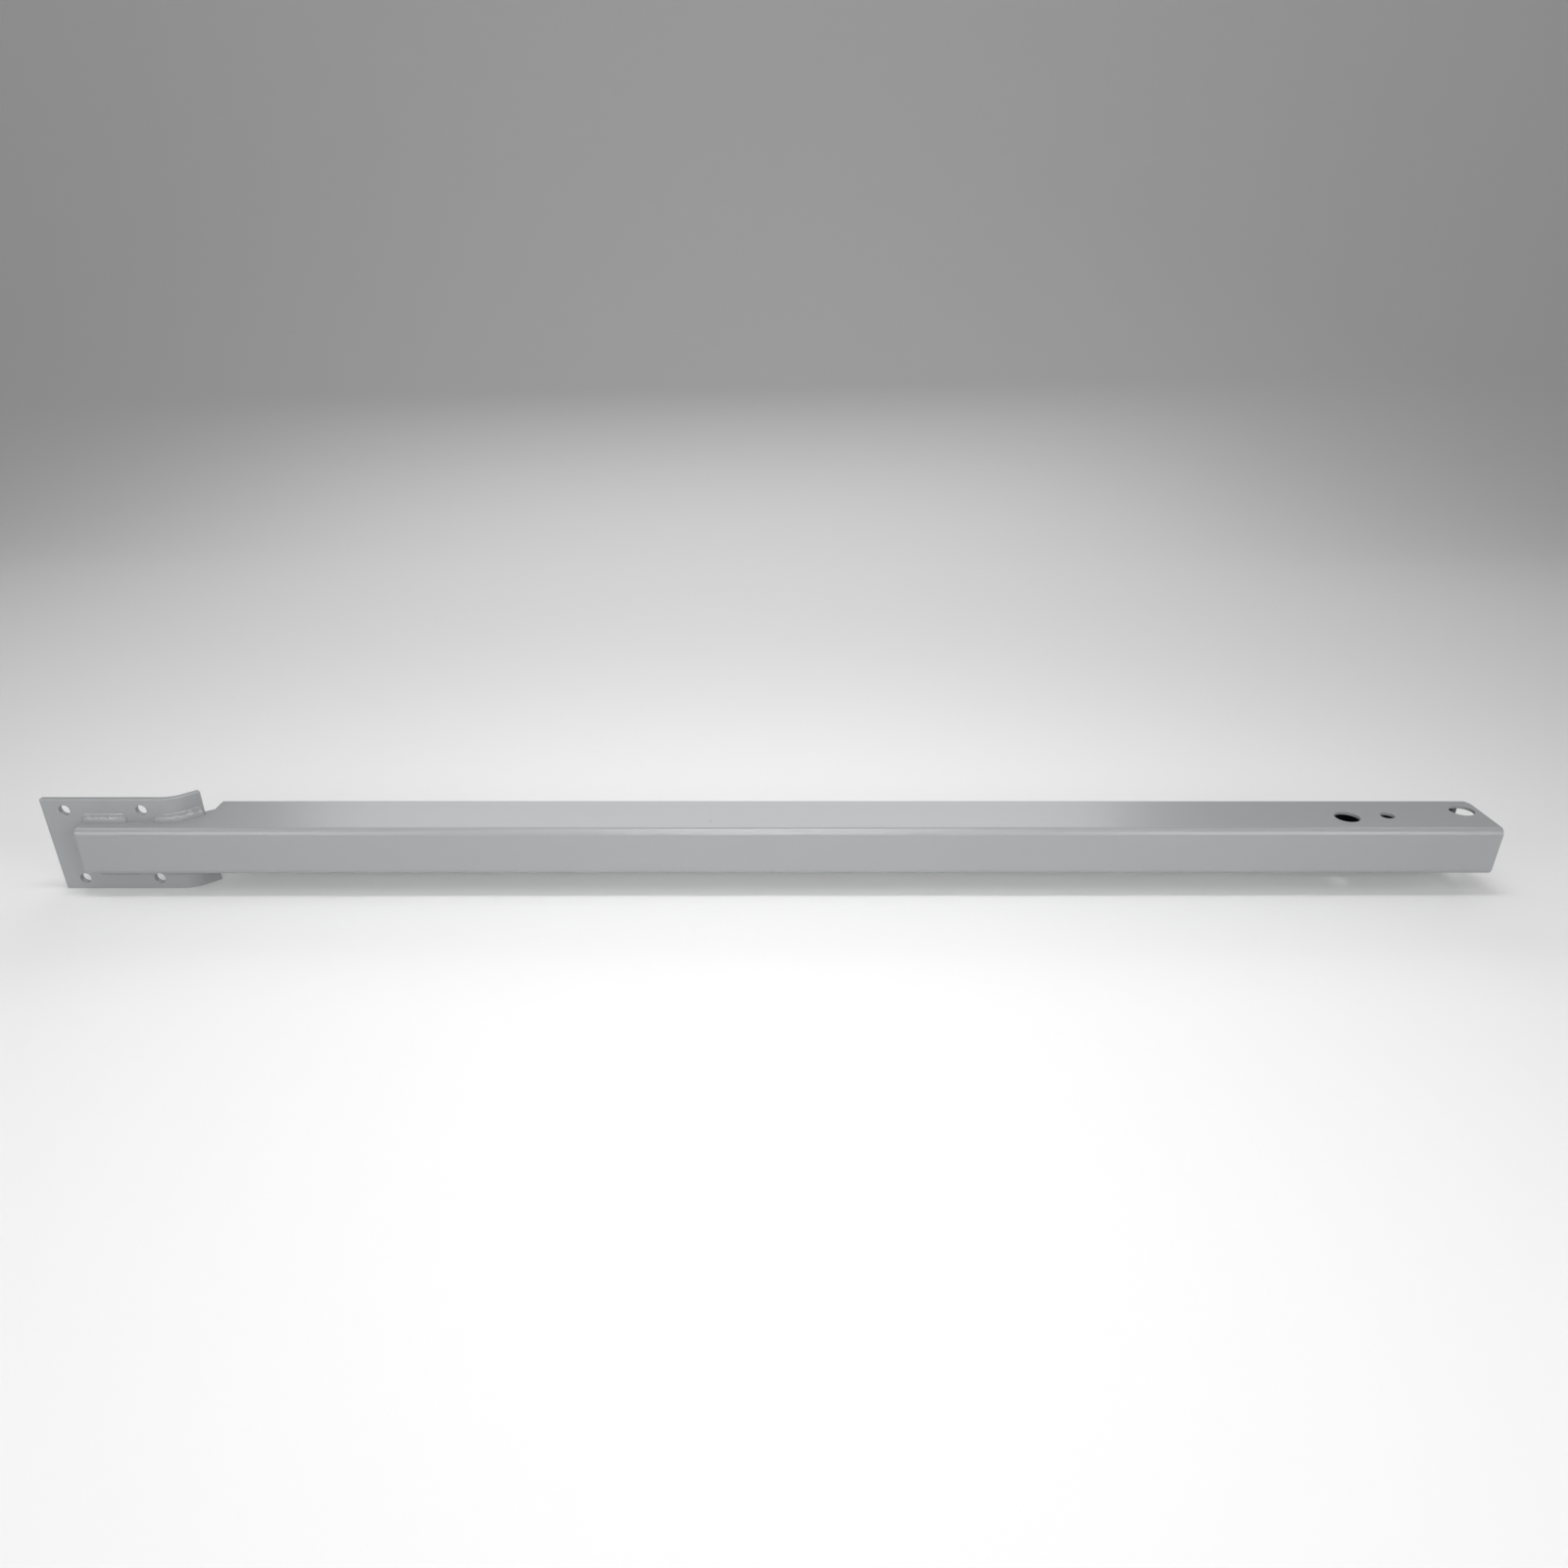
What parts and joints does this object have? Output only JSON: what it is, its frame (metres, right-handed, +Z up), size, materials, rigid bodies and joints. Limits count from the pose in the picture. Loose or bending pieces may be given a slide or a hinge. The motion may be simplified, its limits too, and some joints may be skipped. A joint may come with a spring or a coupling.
{
  "type": "ladder rack arm",
  "caption": "Long rectangular-tube arm of a truck ladder rack, with a cranked four-bolt foot plate welded into a cut-away at one end and vertical cross holes at the other.",
  "frame": {"origin": "centre of the foot's rectangular bolt pattern, on the face of the foot plate that is bolted down", "axes": "+X along the tube from the foot to the free end, +Y out of the bolted face, +Z up; the part is symmetric about the plane Z = 0"},
  "size_m": [1.4592, 0.0762, 0.1],
  "materials": {
    "silver_grey_paint": "satin silver-grey powder coat with a faint orange peel",
    "painted_weld": "rippled weld bead under the same coat, glossier than the rest"
  },
  "bodies": {
    "root": {"beam": "silver_grey_paint", "foot_plate": "silver_grey_paint", "weld_upper_end": "painted_weld", "weld_upper_bend": "painted_weld", "weld_lower_end": "painted_weld", "weld_lower_bend": "painted_weld"}
  },
  "joints": []
}
